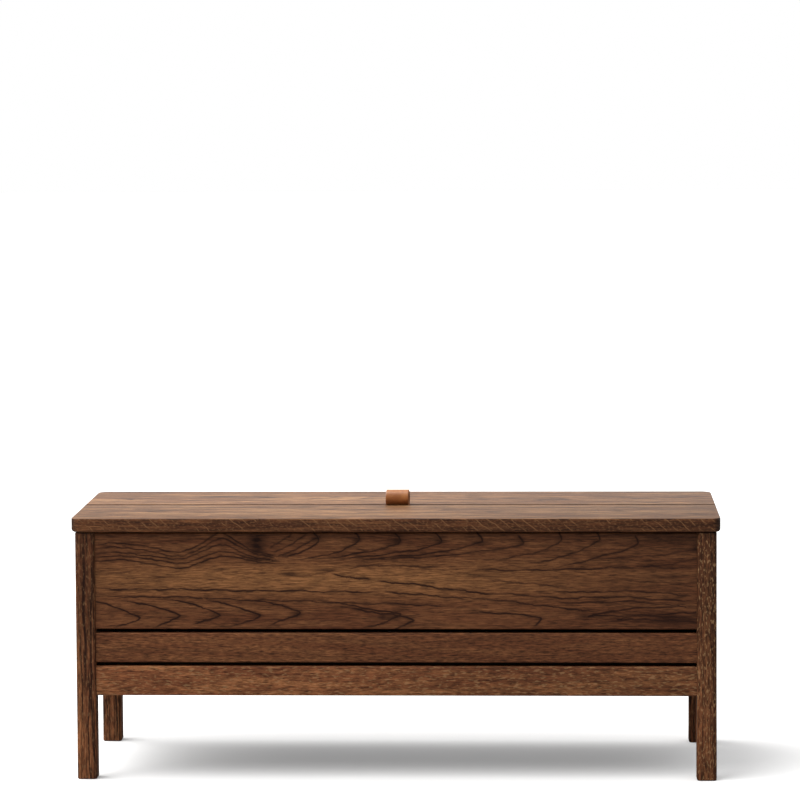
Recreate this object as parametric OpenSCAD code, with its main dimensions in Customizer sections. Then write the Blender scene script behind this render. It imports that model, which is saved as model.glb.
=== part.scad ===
// Storage bench chest: a slatted oak case on four square legs, with a two-board lid
// that is hinged at the back and pulled up by a leather loop.
// Millimetres. X runs along the length, +Y points to the back, Z is up, and the
// origin is on the floor under the middle of the lid.

/* [Overall] */
// Length of the lid from side to side
lid_length = 1110; // [800:10:1400]
// Depth of the lid from front to back
lid_depth = 390; // [320:5:500]
// Height of the seat above the floor
seat_height = 452; // [400:1:540]

/* [Lid] */
// Thickness of the lid boards
lid_thickness = 24; // [20:1:32]
// Open joint between the two lid boards
board_gap = 5; // [5:0.5:8]
// Overhang of the lid past the legs, all round
overhang = 6.5; // [6.5:0.5:15]
// Plan radius of the four corners of the lid
corner_radius = 18; // [8:1:40]
// Radius of the upper edges of the lid
upper_edge_radius = 2; // [1:0.5:4]
// Radius of the lower outer edges of the lid
lower_edge_radius = 5; // [2:0.5:8]
// Shadow gap between the case and the lid
lid_clearance = 2; // [2:0.5:4]

/* [Case] */
// Side of the square legs
leg_size = 34; // [32:1:50]
// Radius of the long edges of the legs
leg_radius = 6; // [2:1:8]
// Radius round the foot of each leg
foot_radius = 3; // [1:0.5:5]
// Height of the case above the floor
ground_clearance = 145; // [100:1:180]
// Height of the two rails on each side
rail_height = 51; // [45:1:65]
// Open slot between the boards of one side
slot_height = 6.5; // [3:0.5:10]
// Thickness of the side boards
board_thickness = 20; // [18:1:22]
// Setback of the side boards from the outer faces of the legs
board_recess = 5; // [3:0.5:6]
// Edge radius of the side boards
board_edge_radius = 3; // [1:0.5:4]

/* [Bottom] */
// Thickness of the bottom panel
bottom_thickness = 12; // [9:1:18]
// Gap round the bottom panel
bottom_play = 1; // [0.5:0.5:2]
// Height and width of the cleats that carry the bottom
cleat_size = 20; // [15:1:28]
// Height of the cleats above the lower edge of the rails
cleat_rise = 28; // [4:1:30]

/* [Battens] */
// Width of the outer battens under the lid
batten_width = 45; // [35:1:60]
// Width of the middle batten, which clamps the strap
middle_batten_width = 60; // [55:1:80]
// Thickness of the battens
batten_thickness = 18; // [15:1:22]
// Distance of the outer battens from the ends of the lid
batten_inset = 155; // [90:5:250]
// Clearance between the batten ends and the legs
batten_clearance = 4.5; // [3:0.5:10]

/* [Dowels and screws] */
// Diameter of the dowels
dowel_diameter = 8; // [6:1:8]
// Depth of the dowel holes in the legs
dowel_depth_leg = 16; // [10:1:20]
// Depth of the dowel holes in the boards
dowel_depth_board = 26; // [15:1:30]
// Radial play of dowels and screws in their holes
hole_play = 0.1; // [0.05:0.05:0.2]
// Shank diameter of the batten, cleat and bottom screws
screw_diameter = 4; // [3:0.5:5]
// Length of the batten screws
batten_screw_length = 34; // [25:1:36]
// Length of the cleat and bottom screws
cleat_screw_length = 30; // [22:1:32]
// Shank diameter of the hinge screws
hinge_screw_diameter = 3.5; // [3:0.5:4]
// Length of the hinge screws
hinge_screw_length = 18; // [12:1:19]

/* [Hinges] */
// Length of one hinge
hinge_length = 76; // [60:2:100]
// Distance of the hinges from the ends of the lid
hinge_inset = 235; // [120:5:300]
// Thickness of the hinge leaves
leaf_thickness = 1.5; // [1.2:0.1:1.6]
// Outer radius of the knuckles
knuckle_radius = 3.5; // [3:0.1:3.8]
// Radius of the hinge pin
pin_radius = 2; // [1.5:0.1:2.2]
// Radial play of the pin in the knuckles
pin_play = 0.05; // [0.02:0.01:0.1]
// Distance of the hinge axis behind the rear legs
axis_setback = 1; // [1:0.5:2]
// Opening angle at which the stop lugs meet
open_angle = 100; // [95:1:105]

/* [Strap] */
// Width of the leather strap
strap_width = 40; // [30:1:50]
// Thickness of the leather
strap_thickness = 2.3; // [1.8:0.1:2.4]
// Height of the loop above the seat
loop_height = 27; // [22:1:40]
// Outer radius of the loop
loop_radius = 12.5; // [9:0.5:14]
// Length of each strap tail under the lid
tail_length = 30; // [24:1:40]

/* [Hidden] */

$fn = 32;
ARC_STEPS = 6;        // straight segments in a quarter of a rounded edge
LOOP_STEPS = 24;      // straight segments round the leather loop
OVER = 1;             // how far a cutter runs past the face it cuts
HAIR = 0.3;           // running clearance between hinge parts

// Levels
lid_under = seat_height - lid_thickness;
case_top = lid_under - lid_clearance;
lower_rail_z = ground_clearance;
upper_rail_z = lower_rail_z + rail_height + slot_height;
panel_z = upper_rail_z + rail_height + slot_height;
panel_height = case_top - panel_z;
cleat_z = lower_rail_z + cleat_rise;
bottom_z = cleat_z + cleat_size;

// Plan sizes, each half of the whole
leg_x = lid_length / 2 - overhang;
leg_y = lid_depth / 2 - overhang;
board_x = leg_x - board_recess;
board_y = leg_y - board_recess;
inner_x = board_x - board_thickness;
inner_y = board_y - board_thickness;
long_board = 2 * (leg_x - leg_size);
short_board = 2 * (leg_y - leg_size);

// Dowels lie in the middle of the board thickness. Those of the long boards sit lower
// and those of the short boards higher, so that they pass each other inside the legs.
dowel_inset = board_recess + board_thickness / 2;
DOWEL_END_PLAY = 0.5;
RAIL_DOWELS = [-0.22, 0.22] * rail_height;
PANEL_DOWELS = [-0.33, -0.11, 0.11, 0.33] * panel_height;
rail_stagger = rail_height * 0.1;
panel_stagger = panel_height * 0.04;

// Battens
batten_x = lid_length / 2 - batten_inset;
batten_length = short_board - 2 * batten_clearance;
batten_z = lid_under - batten_thickness;
BATTEN_EDGE = 2;
JOINT_RADIUS = 1.5;   // edge radius of the lid boards where they meet
BATTEN_SCREWS = [-1, -0.4, 0.4, 1] * (batten_length / 2 - 25);
strap_screw_y = strap_thickness + tail_length * 0.6;

// Hinges
hinge_x = lid_length / 2 - hinge_inset;
axis_y = leg_y + axis_setback;
axis_z = lid_under - knuckle_radius - 0.5;
leaf_front = inner_y + 2;
leaf_edge = axis_y - knuckle_radius - HAIR;
case_leaf_z = case_top - leaf_thickness;
lid_leaf_z = lid_under - leaf_thickness;
knuckle_share = 0.4;  // share of the hinge length that the middle knuckle takes
middle_knuckle = hinge_length * knuckle_share;
end_knuckle = (hinge_length - middle_knuckle) / 2 - HAIR;
sweep_radius = norm([0, lid_under - axis_z]) + HAIR;
LUG_REACH = 5.6;
LUG_THICKNESS = 2;
LUG_LENGTH = 12;
LUG_PLAY = 0.1;
lug_contact = case_leaf_z - axis_z - LUG_PLAY;
lug_tilt = asin((LUG_THICKNESS / 2 - lug_contact) / (LUG_REACH - 0.8));
HINGE_SCREWS = [-1, 0, 1] * hinge_length * 0.36;
hinge_screw_y = (leaf_front + leaf_edge) / 2 - 1;

// Bumpers
BUMPER_RADIUS = 6;

// Strap loop: a circle that runs down along two tangents into the gap
loop_z = seat_height + loop_height - loop_radius;
loop_middle = loop_radius - strap_thickness / 2;
loop_inner = loop_radius - strap_thickness;
neck = norm([strap_thickness / 2, loop_z - seat_height]);
loop_angle = atan2(seat_height - loop_z, strap_thickness / 2) + acos(loop_middle / neck);
neck_outer_z = loop_z + loop_radius * sin(loop_angle)
    + (loop_radius * cos(loop_angle) - strap_thickness) * cos(loop_angle) / sin(loop_angle);
neck_inner_z = loop_z + loop_inner * sin(loop_angle)
    + loop_inner * pow(cos(loop_angle), 2) / sin(loop_angle);

OAK = "saddlebrown";
OAK_DARK = "sienna";
PLY = "peru";
STEEL = "dimgray";
LEATHER = "burlywood";

// Points of an arc about centre c, from angle a to angle b
function arc(c, r, a, b, steps) =
    [for (i = [0 : steps]) c + r * [cos(a + (b - a) * i / steps), sin(a + (b - a) * i / steps)]];

// Rectangle from [x0, y0] to [x1, y1], its corners rounded by [r0, r1, r2, r3]
// counterclockwise from the lower left one; a radius of 0 keeps the corner sharp
module rounded_area(x0, y0, x1, y1, r) {
    corners = [[x0, y0], [x1, y0], [x1, y1], [x0, y1]];
    inward = [[1, 1], [-1, 1], [-1, -1], [1, -1]];
    polygon([for (k = [0 : 3])
        each (r[k] > 0
            ? arc(corners[k] + inward[k] * r[k], r[k], 180 + 90 * k, 270 + 90 * k, ARC_STEPS)
            : [corners[k]])]);
}

// Extrusions along X and along Y; the profile is drawn in (y, z) or in (x, z)
module along_x(x0, length) translate([x0, 0, 0]) rotate([90, 0, 90]) linear_extrude(length) children();
module along_y(y0, length)
    translate([0, y0 + length, 0]) rotate([90, 0, 0]) linear_extrude(length) children();

// Block from low to high, its edges rounded by the plan radii, then by the radii of
// its profile across X (drawn in y, z) and by those of its profile across Y (in x, z)
module rounded_block(low, high, plan, across_x, across_y) {
    intersection() {
        translate([0, 0, low.z]) linear_extrude(high.z - low.z)
            rounded_area(low.x, low.y, high.x, high.y, plan);
        along_x(low.x, high.x - low.x) rounded_area(low.y, low.z, high.y, high.z, across_x);
        along_y(low.y, high.y - low.y) rounded_area(low.x, low.z, high.x, high.z, across_y);
    }
}

// Countersunk wood screw whose head is flush with z = 0 and whose point is down.
// With play above 0 it's the hole that the screw needs.
module wood_screw(diameter, length, play = 0) {
    head = 0.45 * diameter;
    tip = diameter;
    difference() {
        union() {
            translate([0, 0, -head])
                cylinder(h = head, r1 = diameter / 2 + play, r2 = diameter / 2 + head + play);
            translate([0, 0, tip - length])
                cylinder(h = length - tip, r = diameter / 2 + play);
            translate([0, 0, -length - play])
                cylinder(h = tip + play, r1 = 0.3 + play, r2 = diameter / 2 + play);
        }
        if (play == 0)
            translate([0, 0, -diameter / 3]) cylinder(h = diameter, r = diameter * 0.35, $fn = 6);
    }
}

// ---- Case ----

// Heights of the dowels of one board that starts at z: way is -1 for a long board
// and 1 for a short one
function rail_dowels(z, way) = [for (d = RAIL_DOWELS) z + rail_height / 2 + d + way * rail_stagger];
function panel_dowels(way) = [for (d = PANEL_DOWELS) panel_z + panel_height / 2 + d + way * panel_stagger];
function dowel_levels(way) =
    concat(rail_dowels(lower_rail_z, way), rail_dowels(upper_rail_z, way), panel_dowels(way));

// Leg with its outer corner at the origin, running towards +X and +Y
module leg_blank() {
    hole = dowel_diameter / 2 + hole_play;
    foot = [foot_radius, foot_radius, 0, 0];
    difference() {
        rounded_block([0, 0, 0], [leg_size, leg_size, case_top], [1, 1, 1, 1] * leg_radius, foot, foot);
        for (z = dowel_levels(-1))
            translate([leg_size - dowel_depth_leg, dowel_inset, z])
                rotate([0, 90, 0]) cylinder(h = dowel_depth_leg + OVER, r = hole);
        for (z = dowel_levels(1))
            translate([dowel_inset, leg_size - dowel_depth_leg, z])
                rotate([-90, 0, 0]) cylinder(h = dowel_depth_leg + OVER, r = hole);
    }
}

// Leg at the corner named by side = -1 left, 1 right and end = -1 front, 1 rear
module leg(side, end) {
    color(OAK)
        mirror([side > 0 ? 1 : 0, 0, 0])
            mirror([0, end > 0 ? 1 : 0, 0])
                translate([-leg_x, -leg_y, 0]) leg_blank();
}

// Dowel holes in both ends of a board that runs along X, at the given heights
module end_holes(length, y, levels) {
    for (side = [-1, 1], z = levels)
        translate([side * (length / 2 - dowel_depth_board), y, z])
            rotate([0, side * 90, 0])
                cylinder(h = dowel_depth_board + OVER, r = dowel_diameter / 2 + hole_play);
}

// Board that runs along X and closes the front: its outer face is at y = -outer
module case_board(length, outer, z, height, levels) {
    difference() {
        along_x(-length / 2, length)
            rounded_area(-outer, z, board_thickness - outer, z + height, [1, 1, 1, 1] * board_edge_radius);
        end_holes(length, board_thickness / 2 - outer, levels);
    }
}

module to_side() rotate([0, 0, -90]) children();
module to_rear() mirror([0, 1, 0]) children();
module to_right() mirror([1, 0, 0]) children();

module panel_at_front() case_board(long_board, board_y, panel_z, panel_height, panel_dowels(-1));
module panel_at_side() to_side() case_board(short_board, board_x, panel_z, panel_height, panel_dowels(1));
module rail_at_front(z) difference() {
    case_board(long_board, board_y, z, rail_height, rail_dowels(z, -1));
    if (z == lower_rail_z) long_cleat_screws(hole_play);
}
module rail_at_side(z) difference() {
    to_side() case_board(short_board, board_x, z, rail_height, rail_dowels(z, 1));
    if (z == lower_rail_z) short_cleat_screws(hole_play);
}

module front_panel() color(OAK) panel_at_front();
module rear_panel() color(OAK) difference() {
    to_rear() panel_at_front();
    for (side = [-1, 1]) {
        translate([side * hinge_x, 0, 0]) leaf_mortise();
        hinge_screws_at(side, case_top, 0, hole_play);
    }
}
module left_panel() color(OAK) panel_at_side();
module right_panel() color(OAK) to_right() panel_at_side();

module front_upper_rail() color(OAK_DARK) rail_at_front(upper_rail_z);
module rear_upper_rail() color(OAK_DARK) to_rear() rail_at_front(upper_rail_z);
module left_upper_rail() color(OAK_DARK) rail_at_side(upper_rail_z);
module right_upper_rail() color(OAK_DARK) to_right() rail_at_side(upper_rail_z);

module front_lower_rail() color(OAK_DARK) rail_at_front(lower_rail_z);
module rear_lower_rail() color(OAK_DARK) to_rear() rail_at_front(lower_rail_z);
module left_lower_rail() color(OAK_DARK) rail_at_side(lower_rail_z);
module right_lower_rail() color(OAK_DARK) to_right() rail_at_side(lower_rail_z);

// Dowels of one side, partly in the legs and partly in the boards
module side_dowels(length, outer, way) {
    dowel = dowel_depth_leg + dowel_depth_board - 2 * DOWEL_END_PLAY;
    start = length / 2 - dowel_depth_board + DOWEL_END_PLAY;
    for (side = [-1, 1], z = dowel_levels(way))
        translate([side * start, board_thickness / 2 - outer, z])
            rotate([0, side * 90, 0]) cylinder(h = dowel, r = dowel_diameter / 2);
}
module front_dowels() color(PLY) side_dowels(long_board, board_y, -1);
module rear_dowels() color(PLY) to_rear() side_dowels(long_board, board_y, -1);
module left_dowels() color(PLY) to_side() side_dowels(short_board, board_x, 1);
module right_dowels() color(PLY) to_right() to_side() side_dowels(short_board, board_x, 1);

// ---- Bottom ----

LONG_CLEAT_SCREWS = [-2, -1, 0, 1, 2] * long_board * 0.22;
SHORT_CLEAT_SCREWS = [-1, 1] * short_board * 0.3;
BOTTOM_SCREWS = [-1.5, -0.5, 0.5, 1.5] * long_board * 0.28;
long_cleat = long_board - 2 * bottom_play;
short_cleat = 2 * (inner_y - cleat_size - bottom_play);
CLEAT_EDGE = 2;

// Screws driven outwards through the front cleat, and through the left one
module long_cleat_screws(play) {
    for (x = LONG_CLEAT_SCREWS)
        translate([x, cleat_size - inner_y, cleat_z + cleat_size / 2])
            rotate([-90, 0, 0]) wood_screw(screw_diameter, cleat_screw_length, play);
}
module short_cleat_screws(play) {
    for (y = SHORT_CLEAT_SCREWS)
        translate([cleat_size - inner_x, y, cleat_z + cleat_size / 2])
            rotate([0, 90, 0]) wood_screw(screw_diameter, cleat_screw_length, play);
}
module bottom_screws_at_front(play) {
    for (x = BOTTOM_SCREWS)
        translate([x, cleat_size / 2 - inner_y, bottom_z + bottom_thickness])
            wood_screw(screw_diameter, cleat_screw_length - 2, play);
}

module cleat_at_front() difference() {
    along_x(-long_cleat / 2, long_cleat)
        rounded_area(-inner_y, cleat_z, cleat_size - inner_y, bottom_z, [0, CLEAT_EDGE, 0, 0]);
    long_cleat_screws(hole_play);
    bottom_screws_at_front(hole_play);
}
module cleat_at_side() difference() {
    along_y(-short_cleat / 2, short_cleat)
        rounded_area(-inner_x, cleat_z, cleat_size - inner_x, bottom_z, [0, CLEAT_EDGE, 0, 0]);
    short_cleat_screws(hole_play);
}
module front_cleat() color(PLY) cleat_at_front();
module rear_cleat() color(PLY) to_rear() cleat_at_front();
module left_cleat() color(PLY) cleat_at_side();
module right_cleat() color(PLY) to_right() cleat_at_side();

// Bottom panel, notched round the four legs
module bottom_panel() {
    half_x = inner_x - bottom_play;
    half_y = inner_y - bottom_play;
    notch_x = leg_x - leg_size - bottom_play;
    notch_y = leg_y - leg_size - bottom_play;
    color(PLY) difference() {
        translate([-half_x, -half_y, bottom_z]) cube([2 * half_x, 2 * half_y, bottom_thickness]);
        for (side = [-1, 1], end = [-1, 1])
            translate([side * (notch_x + leg_size / 2), end * (notch_y + leg_size / 2), bottom_z])
                cube([leg_size, leg_size, 3 * bottom_thickness], center = true);
        bottom_screws_at_front(hole_play);
        to_rear() bottom_screws_at_front(hole_play);
    }
}

module cleat_screws() color(STEEL) {
    long_cleat_screws(0);
    to_rear() long_cleat_screws(0);
    short_cleat_screws(0);
    to_right() short_cleat_screws(0);
}
module bottom_screws() color(STEEL) {
    bottom_screws_at_front(0);
    to_rear() bottom_screws_at_front(0);
}

// Felt discs on the leg tops, on which the lid rests
module lid_bumpers() color("dimgray") {
    for (side = [-1, 1], end = [-1, 1])
        translate([side * (leg_x - leg_size / 2), end * (leg_y - leg_size / 2), case_top])
            cylinder(h = lid_clearance, r = BUMPER_RADIUS);
}

// ---- Hinges, drawn about x = 0 and moved to their places ----

// Three screws of one leaf; up = 1 drives them upwards into the lid
module hinge_screws_at(side, z, up, play) {
    for (x = HINGE_SCREWS)
        translate([side * hinge_x + x, hinge_screw_y, z])
            mirror([0, 0, up]) wood_screw(hinge_screw_diameter, hinge_screw_length, play);
}
module leaf_mortise() {
    translate([-hinge_length / 2 - hole_play, leaf_front - hole_play, case_leaf_z])
        cube([hinge_length + 2 * hole_play, board_thickness, leaf_thickness + OVER]);
}
module barrel(x0, length, r) translate([x0, axis_y, axis_z]) rotate([0, 90, 0]) cylinder(h = length, r = r);
module leaf_plate(x0, length, rear, z)
    translate([x0, leaf_front, z]) cube([length, rear - leaf_front, leaf_thickness]);

module case_leaf() {
    difference() {
        union() {
            leaf_plate(-hinge_length / 2, hinge_length, axis_y - sweep_radius, case_leaf_z);
            for (side = [-1, 1]) {
                x0 = side < 0 ? -hinge_length / 2 : hinge_length / 2 - end_knuckle;
                leaf_plate(x0, end_knuckle, axis_y, case_leaf_z);
                barrel(x0, end_knuckle, knuckle_radius);
            }
        }
        barrel(-hinge_length, 2 * hinge_length, pin_radius + pin_play);
        for (x = HINGE_SCREWS)
            translate([x, hinge_screw_y, case_top])
                wood_screw(hinge_screw_diameter, hinge_screw_length, hole_play);
    }
}

module lid_leaf() {
    difference() {
        union() {
            leaf_plate(-hinge_length / 2, hinge_length, leaf_edge, lid_leaf_z);
            leaf_plate(-middle_knuckle / 2, middle_knuckle, axis_y, lid_leaf_z);
            barrel(-middle_knuckle / 2, middle_knuckle, knuckle_radius);
            // Stop lug: it meets the underside of the case leaf at the opening angle
            translate([-LUG_LENGTH / 2, axis_y, axis_z])
                rotate([lug_tilt + open_angle - 180, 0, 0])
                    translate([0, 0, -LUG_THICKNESS / 2]) cube([LUG_LENGTH, LUG_REACH, LUG_THICKNESS]);
        }
        barrel(-hinge_length, 2 * hinge_length, pin_radius + pin_play);
        for (x = HINGE_SCREWS)
            translate([x, hinge_screw_y, lid_leaf_z])
                mirror([0, 0, 1]) wood_screw(hinge_screw_diameter, hinge_screw_length, hole_play);
    }
}

module hinge_pin() {
    PIN_HEAD = 1;
    barrel(-hinge_length / 2 - PIN_HEAD, hinge_length + 2 * PIN_HEAD, pin_radius);
    for (x0 = [-hinge_length / 2 - PIN_HEAD, hinge_length / 2]) barrel(x0, PIN_HEAD, knuckle_radius - 0.5);
}

module at_hinge(side) translate([side * hinge_x, 0, 0]) children();
module left_hinge_case_leaf() color(STEEL) at_hinge(-1) case_leaf();
module right_hinge_case_leaf() color(STEEL) at_hinge(1) case_leaf();
module left_hinge_lid_leaf() color(STEEL) at_hinge(-1) lid_leaf();
module right_hinge_lid_leaf() color(STEEL) at_hinge(1) lid_leaf();
module left_hinge_pin() color("silver") at_hinge(-1) hinge_pin();
module right_hinge_pin() color("silver") at_hinge(1) hinge_pin();
module hinge_case_screws() color("silver") for (side = [-1, 1]) hinge_screws_at(side, case_top, 0, 0);
module hinge_lid_screws() color("silver") for (side = [-1, 1]) hinge_screws_at(side, lid_leaf_z, 1, 0);

// ---- Lid ----

// Front board of the lid
module lid_board() {
    upper = upper_edge_radius;
    lower = lower_edge_radius;
    rounded_block(
        [-lid_length / 2, -lid_depth / 2, lid_under], [lid_length / 2, -board_gap / 2, seat_height],
        [corner_radius, corner_radius, 0, 0],
        [lower, JOINT_RADIUS, JOINT_RADIUS, upper], [lower, lower, upper, upper]);
}
module lid_front_board() color(OAK) difference() {
    lid_board();
    batten_screws_all(hole_play);
    strap_screws_all(hole_play);
}
module lid_rear_board() color(OAK) difference() {
    to_rear() lid_board();
    batten_screws_all(hole_play);
    strap_screws_all(hole_play);
    for (side = [-1, 1]) hinge_screws_at(side, lid_leaf_z, 1, hole_play);
}

// Screws that come up through the battens
module batten_screws_all(play) {
    for (x = [-1, 0, 1] * batten_x, y = BATTEN_SCREWS)
        translate([x, y, batten_z])
            mirror([0, 0, 1]) wood_screw(screw_diameter, batten_screw_length, play);
}
module strap_screws_all(play) {
    for (end = [-1, 1])
        translate([0, end * strap_screw_y, batten_z])
            mirror([0, 0, 1]) wood_screw(screw_diameter, batten_screw_length, play);
}

module batten(x, width) {
    difference() {
        along_y(-batten_length / 2, batten_length)
            rounded_area(x - width / 2, batten_z, x + width / 2, lid_under,
                [BATTEN_EDGE, BATTEN_EDGE, 0, 0]);
        batten_screws_all(hole_play);
    }
}
module left_batten() color(OAK_DARK) batten(-batten_x, batten_width);
module right_batten() color(OAK_DARK) batten(batten_x, batten_width);
// The middle batten has a shallow pocket for the two strap tails
module middle_batten() color(OAK_DARK) difference() {
    batten(0, middle_batten_width);
    strap_screws_all(hole_play);
    translate([0, 0, lid_under])
        cube([strap_width + 1, 2 * (strap_thickness + tail_length) + 1, 2 * strap_thickness],
            center = true);
}
module batten_screws() color(STEEL) batten_screws_all(0);
module strap_screws() color(STEEL) strap_screws_all(0);

// Leather strap: a standing loop whose two ends go down through the joint between
// the lid boards and turn outwards under them
module leather_strap() {
    tail = strap_thickness + tail_length;
    color(LEATHER) difference() {
        along_x(-strap_width / 2, strap_width)
            difference() {
                polygon(concat(
                    [[strap_thickness, lid_under], [strap_thickness, neck_outer_z]],
                    arc([0, loop_z], loop_radius, loop_angle, 180 - loop_angle, LOOP_STEPS),
                    [[-strap_thickness, neck_outer_z], [-strap_thickness, lid_under]],
                    [[-tail, lid_under], [-tail, lid_under - strap_thickness]],
                    [[tail, lid_under - strap_thickness], [tail, lid_under]]));
                polygon(concat(
                    [[0, neck_inner_z]],
                    arc([0, loop_z], loop_inner, loop_angle, 180 - loop_angle, LOOP_STEPS)));
            }
        strap_screws_all(hole_play);
    }
}

leg(-1, -1);  // leg_front_left
leg(1, -1);  // leg_front_right
leg(-1, 1);  // leg_rear_left
leg(1, 1);  // leg_rear_right
front_panel();
rear_panel();
left_panel();
right_panel();
front_upper_rail();
rear_upper_rail();
left_upper_rail();
right_upper_rail();
front_lower_rail();
rear_lower_rail();
left_lower_rail();
right_lower_rail();
front_dowels();
rear_dowels();
left_dowels();
right_dowels();
bottom_panel();
front_cleat();
rear_cleat();
left_cleat();
right_cleat();
cleat_screws();
bottom_screws();
lid_bumpers();
left_hinge_case_leaf();
right_hinge_case_leaf();
left_hinge_pin();
right_hinge_pin();
hinge_case_screws();
hinge_lid_screws();
left_hinge_lid_leaf();
right_hinge_lid_leaf();
lid_front_board();
lid_rear_board();
left_batten();
middle_batten();
right_batten();
batten_screws();
strap_screws();
leather_strap();
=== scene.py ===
import math
import bpy
import numpy as np
from mathutils import Matrix, Vector


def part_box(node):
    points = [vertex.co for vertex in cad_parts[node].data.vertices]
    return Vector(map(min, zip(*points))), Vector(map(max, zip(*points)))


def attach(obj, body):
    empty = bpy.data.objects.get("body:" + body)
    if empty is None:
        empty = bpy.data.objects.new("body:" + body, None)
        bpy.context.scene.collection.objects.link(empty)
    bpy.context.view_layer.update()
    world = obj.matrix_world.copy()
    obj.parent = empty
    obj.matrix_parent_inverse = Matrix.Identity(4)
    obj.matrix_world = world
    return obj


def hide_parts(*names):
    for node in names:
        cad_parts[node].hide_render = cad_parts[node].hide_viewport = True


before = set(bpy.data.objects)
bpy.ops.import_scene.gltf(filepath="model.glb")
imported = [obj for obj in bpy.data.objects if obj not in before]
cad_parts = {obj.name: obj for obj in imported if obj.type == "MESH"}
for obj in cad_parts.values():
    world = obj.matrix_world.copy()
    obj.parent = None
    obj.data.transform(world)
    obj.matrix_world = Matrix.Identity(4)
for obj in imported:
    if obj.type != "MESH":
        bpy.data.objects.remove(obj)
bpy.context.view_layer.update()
mm = 0.001


def low(node):
    return np.array(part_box(node)[0])


def high(node):
    return np.array(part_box(node)[1])


print("stage: camera, floor and light")

# the camera stands six metres off, a little to the right, and looks slightly down
cameraSet = dict(place=(0.2665, -6.0742, 1.2042), tilt=3.867, turn=-2.479, roll=-0.336,
                 lens=156.48, shift=-0.1112)


def makeCamera(values):
    tilt, turn, roll = (math.radians(values[k]) for k in ("tilt", "turn", "roll"))
    forward = Vector((math.sin(turn) * math.cos(tilt), math.cos(turn) * math.cos(tilt), -math.sin(tilt)))
    level = Vector((math.cos(turn), -math.sin(turn), 0))
    above = level.cross(forward)
    right = level * math.cos(roll) + above * math.sin(roll)
    up = above * math.cos(roll) - level * math.sin(roll)
    data = bpy.data.cameras.new("camera")
    data.lens = values["lens"]
    data.sensor_width = 36
    data.shift_y = values["shift"]
    data.clip_end = 100
    camera = bpy.data.objects.new("camera", data)
    turned = Matrix((right, up, -forward)).transposed().to_4x4()
    camera.matrix_world = Matrix.Translation(values["place"]) @ turned
    bpy.context.scene.collection.objects.link(camera)
    bpy.context.scene.camera = camera


# a broad soft lamp high above the front left, and a room that is bright behind the bench and dim
# in front of it
lightSet = dict(
    aim=(0.76, 0.14, -1.0), softness=66, strength=4.1, colour=(1.0, 0.992, 0.98),
    front=0.38, back=0.90, top=0.95, side=0.35, mirrorFront=0.03, mirrorBack=0.88, seen=1.0)


def makeLights(values):
    world = bpy.data.worlds.new("studio")
    world.use_nodes = True
    tree = world.node_tree
    background = tree.nodes["Background"]
    direction = node(tree, "SeparateXYZ", 1, Vector=node(tree, "TexCoord", 0))
    room = remap(tree, direction, -0.8, 0.8, values["front"], values["back"])
    # dark flags to the left and right
    sideways = maths(tree, "ABSOLUTE", node(tree, "SeparateXYZ", 0, Vector=node(tree, "TexCoord", 0)))
    room = maths(tree, "MULTIPLY", room, remap(tree, sideways, 0.45, 0.95, 1.0, values["side"]))
    height = node(tree, "SeparateXYZ", 2, Vector=node(tree, "TexCoord", 0))
    light = node(tree, "Mix", 0, Factor=remap(tree, height, 0.2, 0.9), A=room, B=values["top"])
    # black flags stand in front, so that the wood mirrors little there
    mirrored = remap(tree, direction, -0.2, 0.8, values["mirrorFront"], values["mirrorBack"])
    light = node(tree, "Mix", 0, Factor=node(tree, "LightPath", 3), A=light, B=mirrored)
    seen = node(tree, "Mix", 0, Factor=node(tree, "LightPath", 0), A=light, B=values["seen"])
    feed(tree, background.inputs["Strength"], seen)
    background.inputs["Color"].default_value = (1, 1, 1, 1)
    bpy.context.scene.world = world
    data = bpy.data.lights.new("overhead", "SUN")
    data.energy = values["strength"]
    data.angle = math.radians(values["softness"])
    data.color = values["colour"]
    lamp = bpy.data.objects.new("overhead", data)
    lamp.rotation_euler = Vector(values["aim"]).to_track_quat("-Z", "Y").to_euler()
    bpy.context.scene.collection.objects.link(lamp)


def newMesh(name, vertices, faces, material, smoothAngle=35):
    mesh = bpy.data.meshes.new(name)
    mesh.from_pydata(vertices.tolist(), [], faces)
    mesh.update()
    mesh.shade_smooth()
    mesh.set_sharp_from_angle(angle=math.radians(smoothAngle))
    mesh.materials.append(material)
    piece = bpy.data.objects.new(name, mesh)
    bpy.context.scene.collection.objects.link(piece)
    return piece


def newMaterial(name):
    material = bpy.data.materials.new(name)
    material.use_nodes = True
    nodes = material.node_tree.nodes
    return material, material.node_tree, nodes["Principled BSDF"]


def feed(tree, socket, value):
    # a socket takes a link, a number, a vector or a colour
    if isinstance(value, bpy.types.NodeSocket):
        tree.links.new(value, socket)
    elif isinstance(value, (tuple, list)) and socket.type == "RGBA" and len(value) == 3:
        socket.default_value = (*value, 1)
    else:
        socket.default_value = value


def node(tree, kind, out=0, settings=None, **inputs):
    made = tree.nodes.new("ShaderNode" + kind)
    for key, value in (settings or {}).items():
        setattr(made, key, value)
    for key, value in inputs.items():
        feed(tree, made.inputs[key.replace("_", " ")], value)
    return made.outputs[out]


def maths(tree, operation, a, b=0.0, c=0.0, clamp=False):
    made = tree.nodes.new("ShaderNodeMath")
    made.operation = operation
    made.use_clamp = clamp
    for socket, value in zip(made.inputs, (a, b, c)):
        feed(tree, socket, value)
    return made.outputs[0]


def ramp(tree, value, stops, smooth=True):
    made = tree.nodes.new("ShaderNodeValToRGB")
    made.color_ramp.interpolation = "EASE" if smooth else "LINEAR"
    elements = made.color_ramp.elements
    while len(elements) < len(stops):
        elements.new(0.5)
    for element, (place, colour) in zip(elements, stops):
        element.position = place
        element.color = (*colour, 1) if isinstance(colour, tuple) else (colour, colour, colour, 1)
    feed(tree, made.inputs[0], value)
    return made.outputs[0]


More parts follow.
